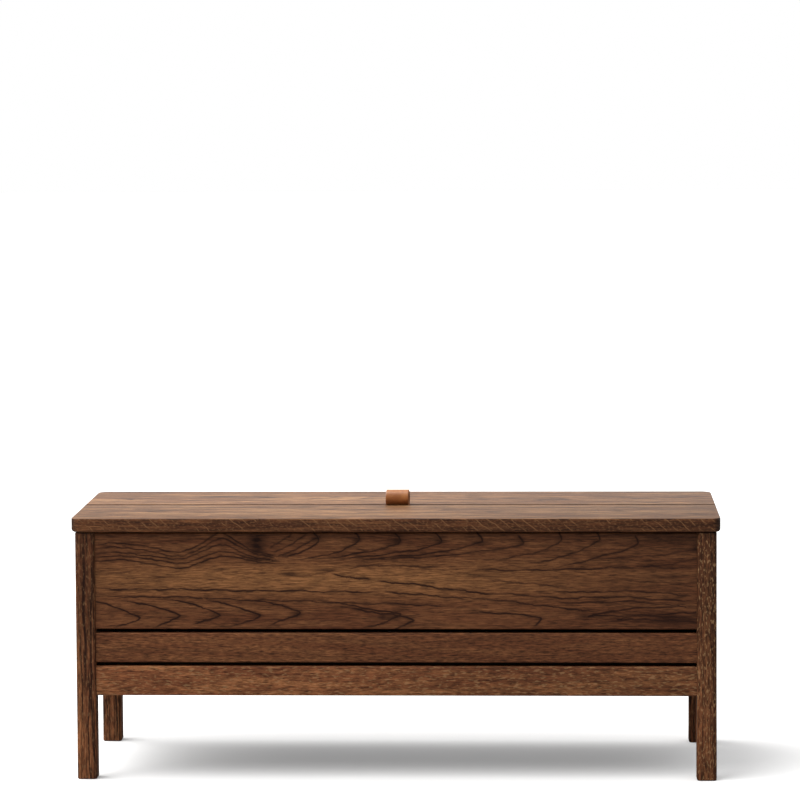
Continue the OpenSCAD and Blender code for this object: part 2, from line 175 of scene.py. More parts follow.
def remap(tree, value, fromLow, fromHigh, toLow=0.0, toHigh=1.0):
    made = tree.nodes.new("ShaderNodeMapRange")
    made.interpolation_type = "SMOOTHSTEP"
    for socket, number in zip(made.inputs, (value, fromLow, fromHigh, toLow, toHigh)):
        feed(tree, socket, number)
    return made.outputs[0]


def mixColour(tree, factor, a, b, blend="MIX"):
    made = tree.nodes.new("ShaderNodeMix")
    made.data_type = "RGBA"
    made.blend_type = blend
    feed(tree, made.inputs[0], factor)
    feed(tree, made.inputs[6], a)
    feed(tree, made.inputs[7], b)
    return made.outputs[2]


def noise(tree, place, scale, detail=2.0, rough=0.5, out=0):
    return node(tree, "TexNoise", out, Vector=place, Scale=scale, Detail=detail, Roughness=rough)


def stretched(tree, place, along, across, seed, deep=None):
    # the place with its first axis slowed down, so that a noise becomes streaks along the grain
    scale = (along, across, across if deep is None else deep)
    return node(tree, "Mapping", Vector=place, Scale=scale, Location=(seed, seed * 1.7, seed * 0.6))


def bumped(tree, height, strength, distance):
    return node(tree, "Bump", Height=height, Strength=strength, Distance=distance)


# turns that bring the grain of a board onto the first axis
grainTurns = dict(x=(0, 0, 0), y=(0, 0, math.radians(-90)), z=(0, math.radians(90), 0))


def oakMaterial(name, values):
    material, tree, shader = newMaterial(name)
    seed = values["seed"]
    objectPlace = node(tree, "TexCoord", 3)
    place = node(tree, "Mapping", Vector=objectPlace, Rotation=grainTurns[values["grain"]])
    # slow wander of the rings along the board
    wander = noise(tree, stretched(tree, place, 1.6, 9, seed), 1, 2)
    parts = tree.nodes.new("ShaderNodeSeparateXYZ")
    feed(tree, parts.inputs[0], place)
    pithA, pithB = values["pith"]
    a = maths(tree, "SUBTRACT", parts.outputs[1], pithA)
    b = maths(tree, "SUBTRACT", parts.outputs[2], pithB)
    squares = maths(tree, "ADD", maths(tree, "MULTIPLY", a, a), maths(tree, "MULTIPLY", b, b))
    radius = maths(tree, "SQRT", squares)
    radius = maths(tree, "MULTIPLY_ADD", wander, values["wander"], radius)
    phase = maths(tree, "FRACT", maths(tree, "DIVIDE", radius, values["ring"]))
    # early wood is a thin dark line that starts sharply and fades
    wide = values["lineWidth"]
    line = ramp(tree, phase, [(0.0, 1.0), (wide, 0.25), (wide * 2.2, 0.0), (0.96, 0.0), (1.0, 1.0)])
    patchy = remap(tree, noise(tree, stretched(tree, place, 4, 22, seed + 3), 1, 2), 0.35, 0.65)
    line = maths(tree, "MULTIPLY", line, maths(tree, "MULTIPLY_ADD", patchy, 0.7, 0.3))
    if "veins" in values:
        line = maths(tree, "MAXIMUM", line, legVeins(tree, place, values))
    masks = dict(lineMask=line)
    if "flecks" in values:
        masks["fleckMask"] = rayFlecks(tree, place, values)
    colour, rough, height = oakSurface(tree, place, dict(values, **masks))
    feed(tree, shader.inputs["Base Color"], colour)
    feed(tree, shader.inputs["Roughness"], rough)
    feed(tree, shader.inputs["Normal"], bumped(tree, height, values["bump"], 0.0006))
    shader.inputs["Specular IOR Level"].default_value = values["shine"]
    return material


def legVeins(tree, place, values):
    # long dark growth lines that climb the leg and sway. u = x + y tells the lines apart on all
    # four faces, from -34 mm at the front left corner to 34 mm at the rear right one
    parts = tree.nodes.new("ShaderNodeSeparateXYZ")
    feed(tree, parts.inputs[0], place)
    u = maths(tree, "SUBTRACT", parts.outputs[1], parts.outputs[2])
    u = maths(tree, "SUBTRACT", u, values["middle"])
    veins = 0.0
    for offset, width in values["veins"]:
        seed = values["seed"] + offset
        sway = noise(tree, stretched(tree, place, 8, 2, seed), 1, 3)
        away = maths(tree, "MULTIPLY_ADD", sway, 0.018, maths(tree, "SUBTRACT", u, offset * mm + 0.009))
        line = remap(tree, maths(tree, "ABSOLUTE", away), width * mm * 0.25, width * mm, 1.0, 0.0)
        patches = noise(tree, stretched(tree, place, 9, 5, seed + 40), 1, 2)
        broken = remap(tree, patches, 0.36, 0.56, 0.15, 1.0)
        veins = maths(tree, "MAXIMUM", veins, maths(tree, "MULTIPLY", line, broken))
    return veins


def rayFlecks(tree, place, values):
    # medullary rays: thin bright strokes that cross the grain at a slant, in loose rows
    seed = values["seed"]
    slant, gap, thin = values["flecks"]
    parts = tree.nodes.new("ShaderNodeSeparateXYZ")
    feed(tree, parts.inputs[0], place)
    sway = noise(tree, stretched(tree, place, 25, 60, seed + 20), 1, 2)
    side = maths(tree, "MULTIPLY_ADD", parts.outputs[2], slant, parts.outputs[0])
    rows = maths(tree, "MULTIPLY_ADD", sway, 0.7, maths(tree, "DIVIDE", side, gap))
    phase = maths(tree, "ABSOLUTE", maths(tree, "SUBTRACT", maths(tree, "FRACT", rows), 0.5))
    stroke = remap(tree, phase, 0.0, thin, 1.0, 0.0)
    broken = remap(tree, noise(tree, stretched(tree, place, 40, 90, seed + 22), 1, 2), 0.40, 0.58)
    dots = noise(tree, stretched(tree, place, 190, 90, seed + 24, 430), 1, 2)
    stroke = maths(tree, "MULTIPLY", stroke, broken)
    flecks = maths(tree, "MAXIMUM", stroke, remap(tree, dots, 0.52, 0.64, 0.0, values["dots"]))
    # they show on the edges, and not on the upper face
    level = maths(tree, "ABSOLUTE", node(tree, "SeparateXYZ", 2, Vector=node(tree, "TexCoord", 1)))
    edge = remap(tree, level, 0.3, 0.8, 1.0, 0.0)
    return maths(tree, "MULTIPLY", flecks, edge)


def oakSurface(tree, place, values):
    seed = values["seed"]
    line = values["lineMask"]
    fibre = noise(tree, stretched(tree, place, 16, 650, seed + 5), 1, 3, 0.6)
    along, across, deep = values["grainSize"]
    grain = noise(tree, stretched(tree, place, along, across, seed + 13, deep), 1, 3, 0.65)
    along, across, deep = values["streakSize"]
    streak = noise(tree, stretched(tree, place, along, across, seed + 7, deep), 1, 3, 0.6)
    pore = remap(tree, noise(tree, stretched(tree, place, 80, 900, seed + 9), 1, 1), 0.56, 0.66)
    slow = noise(tree, stretched(tree, place, 3, 12, seed + 11), 1, 3)
    # the base runs from brown to red brown, with slow clouds and long streaks
    base = mixColour(tree, remap(tree, slow, 0.3, 0.7), values["dark"], values["light"])
    streaks = maths(tree, "MULTIPLY", remap(tree, streak, 0.40, 0.68), values["streakDepth"])
    base = mixColour(tree, streaks, base, values["streak"])
    if "bandMask" in values:
        base = mixColour(tree, maths(tree, "MULTIPLY", values["bandMask"], 0.75), base, values["glow"])
    shade = maths(tree, "MULTIPLY_ADD", fibre, values["fibre"], 1.0 - values["fibre"] / 2)
    # short dark and bright dashes, as wide as the fibres bundle
    dash = maths(tree, "MULTIPLY_ADD", grain, values["grainDepth"], 1.0 - values["grainDepth"] / 2)
    shade = maths(tree, "MULTIPLY", shade, maths(tree, "MAXIMUM", dash, 0.15))
    if "fade" in values:
        # painted light falloff: the board is darker towards one end, standing in for less lamp light there;
        # on the legs it is lighter towards the floor, standing in for floor bounce and the lid's shade
        # above
        length = node(tree, "SeparateXYZ", 0, Vector=place)
        shade = maths(tree, "MULTIPLY", shade, remap(tree, length, *values["fade"]))
    if "sideFade" in values:
        # painted shade: the board is also darker along one side, standing in for the shade on its rounded
        # edge
        side = node(tree, "SeparateXYZ", 2, Vector=place)
        shade = maths(tree, "MULTIPLY", shade, remap(tree, side, *values["sideFade"]))
    grey = node(tree, "CombineColor", Red=shade, Green=shade, Blue=shade)
    base = mixColour(tree, 1.0, base, grey, "MULTIPLY")
    base = mixColour(tree, maths(tree, "MULTIPLY", line, values["lineDepth"]), base, values["line"])
    if "cloudMask" in values:
        base = mixColour(tree, values["cloudMask"], base, values["line"])
    base = mixColour(tree, maths(tree, "MULTIPLY", pore, values["poreDepth"]), base, values["line"])
    if "fleckMask" in values:
        flecks = maths(tree, "MULTIPLY", values["fleckMask"], values["fleckDepth"])
        base = mixColour(tree, flecks, base, values["fleck"])
    if "speckle" in values:
        # small bright scales where the rays come to the surface
        along, across, depth = values["speckle"]
        spots = noise(tree, stretched(tree, place, along, across, seed + 17), 1, 2)
        scales = remap(tree, spots, 0.54, 0.66, 0.0, depth)
        base = mixColour(tree, scales, base, values["fleck"])
    if "ends" in values:
        # the end faces are darker: partly end grain that drinks more oil, partly painted shade standing in
        # for the dim sides of the room
        turned = maths(tree, "ABSOLUTE", node(tree, "SeparateXYZ", 0, Vector=node(tree, "TexCoord", 1)))
        soakedAndShaded = remap(tree, turned, 0.25, 0.85, 0.0, 1.0 - values["ends"])
        base = mixColour(tree, soakedAndShaded, base, (0.01, 0.004, 0.002))
    if "upper" in values:
        # painted sheen: the oiled upper face is lighter and more golden than the edges, standing in for the
        # bright room's grazing reflection on the top
        sheenFacing = remap(tree, node(tree, "SeparateXYZ", 2, Vector=node(tree, "TexCoord", 1)), 0.5, 0.95)
        base = mixColour(tree, sheenFacing, base, mixColour(tree, 1.0, base, values["upper"], "MULTIPLY"))
    rough = maths(tree, "MULTIPLY_ADD", fibre, 0.12, values["rough"] - 0.06)
    dents = maths(tree, "ADD", maths(tree, "MULTIPLY", pore, 0.5), maths(tree, "MULTIPLY", line, 0.3))
    height = maths(tree, "SUBTRACT", maths(tree, "MULTIPLY", grain, 0.4), dents)
    return base, rough, height


oakBase = dict(seed=1.0, grain="x", pith=(0.05, 0.10), ring=0.006, wander=0.030, lineWidth=0.12,
               dark=(0.103, 0.034, 0.0135), light=(0.143, 0.051, 0.020), streak=(0.198, 0.080, 0.031),
               glow=(0.265, 0.116, 0.042), line=(0.020, 0.006, 0.003), lineDepth=0.95, poreDepth=0.45,
               grainSize=(42, 500, 500), grainDepth=2.7, streakSize=(6, 90, 90), fibre=0.8,
               streakDepth=0.6, rough=0.55, shine=0.15, bump=0.35,
               fleck=(0.42, 0.24, 0.11), fleckDepth=0.6)
railOak = dict(pith=(0.12, 0.02), ring=0.005, wander=0.012, lineDepth=0.30, grainSize=(70, 460, 460),
               grainDepth=3.4)
legOak = dict(grain="z", pith=(0.02, 0.09), ring=0.0085, wander=0.040, lineWidth=0.30,
              lineDepth=0.9, grainSize=(45, 300, 300), grainDepth=3.4, speckle=(110, 380, 0.22),
              veins=((-31, 2.6), (-25, 1.8), (-18, 3.6), (-13, 2.0), (-7, 3.2), (-2, 1.8),
                     (4, 2.2), (11, 1.6), (17, 2.8), (24, 1.8), (30, 2.2)))
# the lid's end faces are darkened partly for end grain and partly as painted shade
lidOak = dict(grain="x", pith=(0.02, -0.20), ring=0.009, wander=0.09, lineWidth=0.16,
              lineDepth=0.75, shine=0.20,
              dark=(0.066, 0.021, 0.008), light=(0.095, 0.032, 0.0115), streak=(0.158, 0.060, 0.022),
              # upper paints a sheen on the lid's top face
              ends=0.35, upper=(1.82, 2.52, 3.10), rough=0.5, grainSize=(22, 230, 380), grainDepth=3.0,
              streakSize=(5, 85, 90), streakDepth=1.0, flecks=(1.25, 0.020, 0.085), dots=0.45,
              # the lid is painted darker towards its right end as light falloff
              fleck=(0.265, 0.122, 0.050), fleckDepth=0.9, fade=(-0.2, 0.56, 1.05, 0.76))
innerOak = dict(ring=0.006, wander=0.02, dark=(0.10, 0.036, 0.015), light=(0.15, 0.056, 0.023))
beech = dict(dark=(0.52, 0.34, 0.20), light=(0.62, 0.44, 0.28), streak=(0.68, 0.50, 0.33),
             line=(0.40, 0.24, 0.13), lineDepth=0.2, poreDepth=0.15, grainDepth=0.5)
# painted shade: the bottom board is nearly black, for the dark inside of the closed case
bottomOak = dict(pith=(0.0, -0.25), ring=0.009, wander=0.05, dark=(0.020, 0.012, 0.008),
                 light=(0.028, 0.016, 0.010), streak=(0.034, 0.020, 0.013), line=(0.008, 0.005, 0.003))

scene = bpy.context.scene
scene.view_settings.view_transform = "Standard"
makeCamera(cameraSet)
makeLights(lightSet)

# lit paper: it looks white to the camera, throws less light back on the bench, and mirrors dark
paperSet = dict(bounce=0.33, mirrored=0.09, seen=0.80, glow=0.19)


def paperMaterial(values):
    material, tree, shader = newMaterial("paper")
    camera, glossy = node(tree, "LightPath", 0), node(tree, "LightPath", 3)
    tone = node(tree, "Mix", 0, Factor=glossy, A=values["bounce"], B=values["mirrored"])
    tone = node(tree, "Mix", 0, Factor=camera, A=tone, B=values["seen"])
    feed(tree, shader.inputs["Base Color"], node(tree, "CombineColor", Red=tone, Green=tone, Blue=tone))
    shader.inputs["Roughness"].default_value = 0.9
    shader.inputs["Specular IOR Level"].default_value = 0.0
    shader.inputs["Emission Color"].default_value = (1, 1, 1, 1)
    feed(tree, shader.inputs["Emission Strength"], maths(tree, "MULTIPLY", camera, values["glow"]))
    return material


floorCorners = np.array([[-30, -30, 0], [30, -30, 0], [30, 30, 0], [-30, 30, 0]], float)
floor = newMesh("floor", floorCorners, [(0, 1, 2, 3)], paperMaterial(paperSet))


def roundedOutline(width, height, radii, steps, cornerSteps=6):
    # a rectangle about the middle, counterclockwise from the lower left corner. Each corner is a
    # quarter circle of its own radius, and each side is cut into its own number of steps.
    # Returns the points and the outward normals.
    centres = np.array([[-1, -1], [1, -1], [1, 1], [-1, 1]]) * np.array([width, height]) / 2
    inward = np.array([[1, 1], [-1, 1], [-1, -1], [1, -1]])
    points, normals = [], []
    for corner in range(4):
        angle = np.radians(np.linspace(180 + 90 * corner, 270 + 90 * corner, cornerSteps + 1))
        direction = np.stack([np.cos(angle), np.sin(angle)], 1)
        middle = centres[corner] + inward[corner] * radii[corner]
        points.append(middle + direction * radii[corner])
        normals.append(direction)
        after = (corner + 1) % 4
        start = points[-1][-1]
        stopNormal = direction[-1]
        nextMiddle = centres[after] + inward[after] * radii[after]
        stop = nextMiddle + stopNormal * radii[after]
        share = np.linspace(0, 1, steps[corner] + 1)[1:-1, None]
        points.append(start + (stop - start) * share)
        normals.append(np.repeat(stopNormal[None], len(share), 0))
    return np.concatenate(points), np.concatenate(normals)


def sweptBlock(name, material, outline, normals, stations, insets, axes, weights=None):
    # the outline is repeated at each station along the third axis, moved inwards along its own
    # normals by that station's inset. axes names the world axis of the outline's two
    # directions and of the sweep. Both ends are closed with one flat face.
    count, rings = len(outline), len(stations)
    weights = np.ones(count) if weights is None else weights
    moved = outline[None] - normals[None] * (np.asarray(insets)[:, None] * weights)[..., None]
    grid = np.zeros((rings, count, 3))
    grid[..., axes[0]] = moved[..., 0]
    grid[..., axes[1]] = moved[..., 1]
    grid[..., axes[2]] = np.asarray(stations)[:, None]
    index = np.arange(rings * count).reshape(rings, count)
    ahead = np.roll(index, -1, 1)
    quads = np.stack([index[:-1], ahead[:-1], ahead[1:], index[1:]], -1).reshape(-1, 4)
    faces = quads.tolist() + [index[0][::-1].tolist(), index[-1].tolist()]
    handed = np.linalg.det(np.eye(3)[list(axes)])
    if handed < 0:
        faces = [face[::-1] for face in faces]
    return newMesh(name, grid.reshape(-1, 3), faces, material)


def quarter(radius, steps=5):
    # heights and insets of a rounded end: inset = r (1 - sin a), height = r (1 - cos a)
    angle = np.radians(np.linspace(0, 90, steps + 1))
    return radius * (1 - np.cos(angle)), radius * (1 - np.sin(angle))


def place(piece, cadNode, body, slot):
    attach(piece, body)
    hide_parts(cadNode)


def addFigure(piece, name, values):
    # one number for each vertex, which the material reads by name
    attribute = piece.data.attributes.new(name, "FLOAT", "POINT")
    attribute.data.foreach_set("value", np.asarray(values, np.float32))


def positions(piece):
    flat = np.zeros(len(piece.data.vertices) * 3, np.float32)
    piece.data.vertices.foreach_get("co", flat)
    return flat.reshape(-1, 3).astype(float)


boardSet = dict(edge=2.6)


def caseBoard(node, material, faceSteps=1, pitch=None):
    # a board with rounded long edges; its outline lies across its longest side
    lowest, highest = low(node), high(node)
    middle, size = (lowest + highest) / 2, highest - lowest
    length = int(np.argmax(size))
    across = [axis for axis in range(3) if axis != length]
    radius = boardSet["edge"] * mm
    # side 0 of the outline faces down, so side 3 faces towards the lower end of the first axis
    sides = (1, 1, 1, faceSteps) if across[0] == 1 else (1, 1, 1, 1)
    outline, normals = roundedOutline(size[across[0]], size[across[1]], [radius] * 4, sides)
    outline = outline + middle[across]
    count = 2 if pitch is None else int(size[length] / pitch)
    stations = np.linspace(lowest[length], highest[length], count)
    insets = np.zeros(count)
    piece = sweptBlock(node + "_wood", material, outline, normals, stations, insets, (*across, length))
    place(piece, node, "case", "case_oak")
    return piece


panelFigure = dict(
    pitch=1.45, halfLength=520,
    # nested tongues of growth lines, in mm from the middle of the board and from its lower edge:
    # the first tip, the step to the next, length and height of the upper half and of the lower
    # half, what each next line adds to its lower length, and how blunt the tips are
    tongues=(
        dict(count=6, tip=(-130, 155), step=(70, -1), upper=(12, 15), lower=(75, 36), grow=48,
             blunt=1.8, depth=0.9),
        dict(count=3, tip=(285, 156), step=(65, -4), upper=(6, 14), lower=(125, 42), grow=15,
             blunt=1.5, depth=0.8),
        dict(count=2, tip=(520, 140), step=(20, -15), upper=(5, 8), lower=(200, 26), grow=20,
             blunt=1.2, depth=0.7),
        dict(count=5, tip=(-438, 22), step=(69, 1), upper=(100, 30), lower=(45, 20), grow=4,
             blunt=1.35, depth=1.0),
        dict(count=2, tip=(10, 25), step=(22, -9), upper=(150, 26), lower=(70, 22), grow=-20,
             blunt=1.3, depth=0.9),
        dict(count=1, tip=(250, 20), step=(0, 0), upper=(140, 12), lower=(15, 16), grow=0,
             blunt=1.5, depth=0.9),
        dict(count=2, tip=(330, 24), step=(50, -7), upper=(-190, 20), lower=(-190, 3), grow=0,
             blunt=1.3, depth=0.9)),
    # lines that rise over the knot on the left: the first height, the step down, dip and hump
    humps=dict(count=5, height=148, step=-7, dip=(-380, 14, 60), hump=(-300, 21, 36), stop=-190,
               depth=0.85),
    # lines that run along the board: start, stop, strength
    runs=(((-520, 70), (-20, 64), 1.0), ((-20, 64), (180, 50), 0.9), ((-520, 59), (110, 40), 0.8),
          ((-110, 98), (-40, 84), 0.9), ((-40, 84), (180, 60), 1.0), ((-175, 90), (-100, 104), 0.6),
          ((-85, 106), (85, 111), 0.7), ((120, 100), (520, 109), 0.9), ((155, 84), (295, 75), 0.7),
          ((265, 68), (520, 60), 0.8), ((170, 59), (520, 51), 0.9), ((155, 51), (345, 32), 0.9),
          ((265, 50), (520, 41), 0.8), ((390, 85), (520, 79), 0.5), ((-500, 99), (-450, 97), 0.5),
          ((-430, 87), (-375, 90), 0.4),
          # a fan beside the knot
          ((-215, 137), (-175, 166), 0.6), ((-208, 128), (-150, 166), 0.7),
          ((-205, 121), (-122, 166), 0.7)),
    # slow sway of all the lines together: height and length of its waves
    sway=((1.6, 31), (0.9, 11), (0.5, 4)),
    # dark clouds: distance along, height, half length, half height, strength
    clouds=((-235, 148, 18, 25, 0.9), (-180, 95, 15, 4, 0.7), (-120, 102, 15, 3, 0.6),
            (-20, 20, 22, 5, 0.7), (150, 92, 22, 4, 0.8), (470, 157, 60, 14, 0.6), (465, 90, 30, 4, 0.6),
            (478, 17, 45, 8, 0.8), (45, 7, 40, 4, 0.3), (-405, 90, 28, 6, 0.35)),
    tipCloud=(11, 7, 0.6),
    # the bright band along the middle: its height, half height, and strength along the board
    band=(86, 30), bandStrength=((-520, 0.6), (-380, 0.9), (60, 1.0), (300, 0.45), (520, 0.0)))


def tongueLine(values, index):
    # x = tip - length |t|^blunt and z = tip + height t, with t from -1 at the lower end to 1 at the upper
    t = np.linspace(-1, 1, 61)
    length = np.where(t > 0, values["upper"][0], values["lower"][0] + index * values["grow"])
    height = np.where(t > 0, values["upper"][1], values["lower"][1])
    tip = np.array(values["tip"]) + index * np.array(values["step"])
    return np.stack([tip[0] - length * np.abs(t) ** values["blunt"], tip[1] + height * t], 1)


def humpLine(values, index, halfLength):
    # z = start - dip exp(-((x - a) / b)^2) + hump exp(-((x - c) / d)^2), lower by a step each time
    x = np.linspace(-halfLength, values["stop"], 90)
    dipPlace, dip, dipWidth = values["dip"]
    humpPlace, hump, humpWidth = values["hump"]
    z = values["height"] + index * values["step"] - dip * np.exp(-((x - dipPlace) / dipWidth) ** 2)
    z += (hump - index * 3) * np.exp(-((x - humpPlace) / humpWidth) ** 2)
    return np.stack([x, z - np.maximum(x - humpPlace, 0) * (0.26 - index * 0.045)], 1)


def runLine(start, stop):
    share = np.linspace(0, 1, 70)[:, None]
    return np.array(start, float) * (1 - share) + np.array(stop, float) * share


def swayed(curve, waves, random):
    # all lines sway alike where they lie close, and each strays a little by itself
    x, z = curve[:, 0], curve[:, 1]
    shift = sum(height * np.sin(x / length + z / (length * 1.6)) for height, length in waves)
    shift = shift + 1.2 * np.sin(x / random.uniform(24, 50) + random.uniform(0, 6))
    return np.stack([x + random.normal(0, 0.3, len(x)), z + shift + random.normal(0, 0.25, len(x))], 1)


def awayFrom(curve, x, z):
    # the least distance to any short step a-b of the curve: t = (p - a).(b - a) / |b - a|^2, cut to 0-1,
    # and the distance is |a + t (b - a) - p|
    a, step = curve[:-1], np.diff(curve, axis=0)
    offX, offZ = x[:, None] - a[:, 0], z[:, None] - a[:, 1]
    t = np.clip((offX * step[:, 0] + offZ * step[:, 1]) / np.maximum((step ** 2).sum(1), 1e-6), 0, 1)
    distance = np.hypot(t * step[:, 0] - offX, t * step[:, 1] - offZ)
    nearest = distance.argmin(1)
    # the line thins out over its first and last few steps
    taper = np.clip((np.minimum(nearest, len(step) - 1 - nearest) + 1) / 7, 0, 1)
    return distance.min(1), taper


def growthLines(figure):
    # every line of the figure as (strength, curve), and the tips of the tongues
    lines, tips = [], []
    for values in figure["tongues"]:
        for index in range(values["count"]):
            lines.append((values["depth"], tongueLine(values, index)))
            tips.append(np.array(values["tip"]) + index * np.array(values["step"]))
    for index in range(figure["humps"]["count"]):
        lines.append((figure["humps"]["depth"], humpLine(figure["humps"], index, figure["halfLength"])))
    for start, stop, depth in figure["runs"]:
        lines.append((depth, runLine(start, stop)))
    return lines, tips


def figurePanel(piece, node, figure):
    points = positions(piece) / mm
    x, z = points[:, 0], points[:, 2] - low(node)[2] / mm
    random = np.random.default_rng(3)
    reach = 9.0
    distance, strength = np.full(len(x), reach), np.zeros(len(x))
    lines, tips = growthLines(figure)
    for depth, drawn in lines:
        curve = swayed(drawn, figure["sway"], random)
        near = (x > curve[:, 0].min() - reach) & (x < curve[:, 0].max() + reach)
        near &= (z > curve[:, 1].min() - reach) & (z < curve[:, 1].max() + reach)
        found, taper = awayFrom(curve, x[near], z[near])
        closer = found < distance[near]
        distance[near] = np.where(closer, found, distance[near])
        strength[near] = np.where(closer, depth * taper, strength[near])
    addFigure(piece, "away", distance)
    addFigure(piece, "strength", strength)
    # each tongue gathers a dark cloud inside its tip
    w, h, depth = figure["tipCloud"]
    clouds = list(figure["clouds"])
    clouds += [(tip[0] - w / 2, tip[1], w, h, depth * random.uniform(0.3, 1.2)) for tip in tips]
    cloud = sum(depth * np.exp(-((x - cx) / w) ** 2 - ((z - cz) / h) ** 2)
                for cx, cz, w, h, depth in clouds)
    addFigure(piece, "cloud", np.clip(cloud, 0, 1))
    middle, width = figure["band"]
    along = np.interp(x, *np.transpose(figure["bandStrength"]))
    addFigure(piece, "band", along * np.exp(-((z - middle) / width) ** 2))


def panelMaterial(name, values):
    material, tree, shader = newMaterial(name)
    seed = values["seed"]
    place = node(tree, "TexCoord", 3)
    away = node(tree, "Attribute", 2, settings=dict(attribute_name="away"))
    strength = node(tree, "Attribute", 2, settings=dict(attribute_name="strength"))
    cloud = node(tree, "Attribute", 2, settings=dict(attribute_name="cloud"))
    band = node(tree, "Attribute", 2, settings=dict(attribute_name="band"))
    # a growth line is a dark core in a soft reddish halo, and swells and thins along its way
    swell = noise(tree, stretched(tree, place, 30, 90, seed), 1, 3, 0.6)
    width = maths(tree, "MULTIPLY_ADD", remap(tree, swell, 0.3, 0.7), values["swell"], values["lineWide"])
    reach = maths(tree, "DIVIDE", away, width)
    core = maths(tree, "EXPONENT", maths(tree, "MULTIPLY", maths(tree, "MULTIPLY", reach, reach), -1.0))
    fading = maths(tree, "EXPONENT", maths(tree, "MULTIPLY", away, -0.45))
    halo = maths(tree, "MULTIPLY", fading, values["halo"])
    patches = noise(tree, stretched(tree, place, 12, 40, seed + 6), 1, 2)
    strength = maths(tree, "MULTIPLY", strength, remap(tree, patches, 0.35, 0.55, 0.75, 1.0))
    line = maths(tree, "MULTIPLY", maths(tree, "ADD", core, halo), strength, clamp=True)
    # the clouds have ragged ends along the grain
    torn = noise(tree, stretched(tree, place, 40, 200, seed + 8), 1, 3, 0.6)
    cloud = maths(tree, "MULTIPLY", cloud, remap(tree, torn, 0.36, 0.60, 0.7, 1.2), clamp=True)
    masks = dict(lineMask=line, cloudMask=cloud, bandMask=band)
    colour, rough, height = oakSurface(tree, place, dict(values, **masks))
    feed(tree, shader.inputs["Base Color"], colour)
    feed(tree, shader.inputs["Roughness"], rough)
    feed(tree, shader.inputs["Normal"], bumped(tree, height, values["bump"], 0.0006))
    shader.inputs["Specular IOR Level"].default_value = values["shine"]
    return material


print("stage: case boards")
boardSeeds = dict(front_panel=2.0, rear_panel=7.3, left_panel=11.9, right_panel=15.1, front_upper_rail=21.4,
                  rear_upper_rail=24.2, left_upper_rail=27.7, right_upper_rail=31.3, front_lower_rail=35.8,
                  rear_lower_rail=38.9, left_lower_rail=42.1, right_lower_rail=46.6)
# painted light falloff: the front panel is darker towards its right end
panelOak = dict(oakBase, seed=2.0, lineWide=0.85, swell=1.0, halo=0.35, fade=(-0.1, 0.52, 1.02, 0.80))
for name, seed in boardSeeds.items():
    side = name.startswith(("left_", "right_"))
    if name == "front_panel":
        figured = panelMaterial("oak_" + name, panelOak)
        piece = caseBoard(name, figured, faceSteps=116, pitch=panelFigure["pitch"] * mm)
        figurePanel(piece, name, panelFigure)
        continue
    rail = name.endswith("rail")
    values = dict(oakBase, seed=seed, grain="y" if side else "x")
    if rail:
        values.update(railOak)
    # painted light falloff: the front rails are lighter towards their left ends
    if name == "front_lower_rail":
        values.update(fade=(-0.52, 0.52, 1.66, 0.95), speckle=(90, 330, 0.35), streakDepth=0.9)
    elif name == "front_upper_rail":
        values["fade"] = (-0.52, 0.52, 1.12, 0.98)
    centre = (low(name) + high(name)) / 2
    values["pith"] = (centre[1] + values["pith"][0], centre[2] + values["pith"][1])
    if side:
        values["pith"] = (-centre[0] + oakBase["pith"][0], values["pith"][1])
    caseBoard(name, oakMaterial("oak_" + name, values))

print("stage: legs")
legSet = dict(edge=6.0, foot=3.0)


def legPiece(node, material):
    lowest, highest = low(node), high(node)
    size = highest - lowest
    outline, normals = roundedOutline(size[0], size[1], [legSet["edge"] * mm] * 4, (1, 1, 1, 1))
    outline = outline + (lowest[:2] + highest[:2]) / 2
    rise, inset = quarter(legSet["foot"] * mm)
    stations = np.concatenate([lowest[2] + rise, [highest[2]]])
    piece = sweptBlock(node + "_wood", material, outline, normals, stations, np.append(inset, 0), (0, 1, 2))
    place(piece, node, "case", "leg_oak")


for index, name in enumerate(("leg_front_left", "leg_front_right", "leg_rear_left", "leg_rear_right")):
    centre = (low(name) + high(name)) / 2
    values = dict(oakBase, **legOak)
    values["seed"] = 51.0 + index * 3.1
    values["pith"] = (centre[1] + legOak["pith"][0], -centre[0] + legOak["pith"][1])
    values["middle"] = centre[0] + centre[1]
    # painted light: the legs are lighter towards the floor and darker under the lid
    values["fade"] = (0.05, 0.32, 1.68, 0.94)
    if name == "leg_front_right":
        values.update(speckle=(125, 420, 0.52), lineDepth=0.5, grainDepth=4.2, seed=60.2, veins=())
        values.update(fade=(0.05, 0.32, 1.18, 0.66))
        # painted shade along the front right leg's rounded right edge
        values["sideFade"] = (0.006 - high(name)[0], 0.014 - high(name)[0], 0.62, 1.0)
    legPiece(name, oakMaterial("oak_" + name, values))

print("stage: lid")
lidSet = dict(corner=18, upper=2.0, lower=5.0, joint=0.8)


def lidBoard(node, material, front):
    lowest, highest = low(node), high(node)
    size = highest - lowest
    corner, sharp = lidSet["corner"] * mm, 0.4 * mm
    radii = [corner, corner, sharp, sharp] if front else [sharp, sharp, corner, corner]
    outline, normals = roundedOutline(size[0], size[1], radii, (1, 1, 1, 1), 10)
    # the edges that meet in the joint are rounded less
    jointSide = normals[:, 1] if front else -normals[:, 1]
    weights = np.where(jointSide > 0.5, lidSet["joint"], 1.0)
    outline = outline + (lowest[:2] + highest[:2]) / 2
    lowerRise, lowerInset = quarter(lidSet["lower"] * mm)
    upperRise, upperInset = quarter(lidSet["upper"] * mm)
    stations = np.concatenate([lowest[2] + lowerRise, (highest[2] - upperRise)[::-1]])
    insets = np.concatenate([lowerInset, upperInset[::-1]])
    piece = sweptBlock(node + "_wood", material, outline, normals, stations, insets, (0, 1, 2), weights)
    place(piece, node, "lid", "lid_oak")


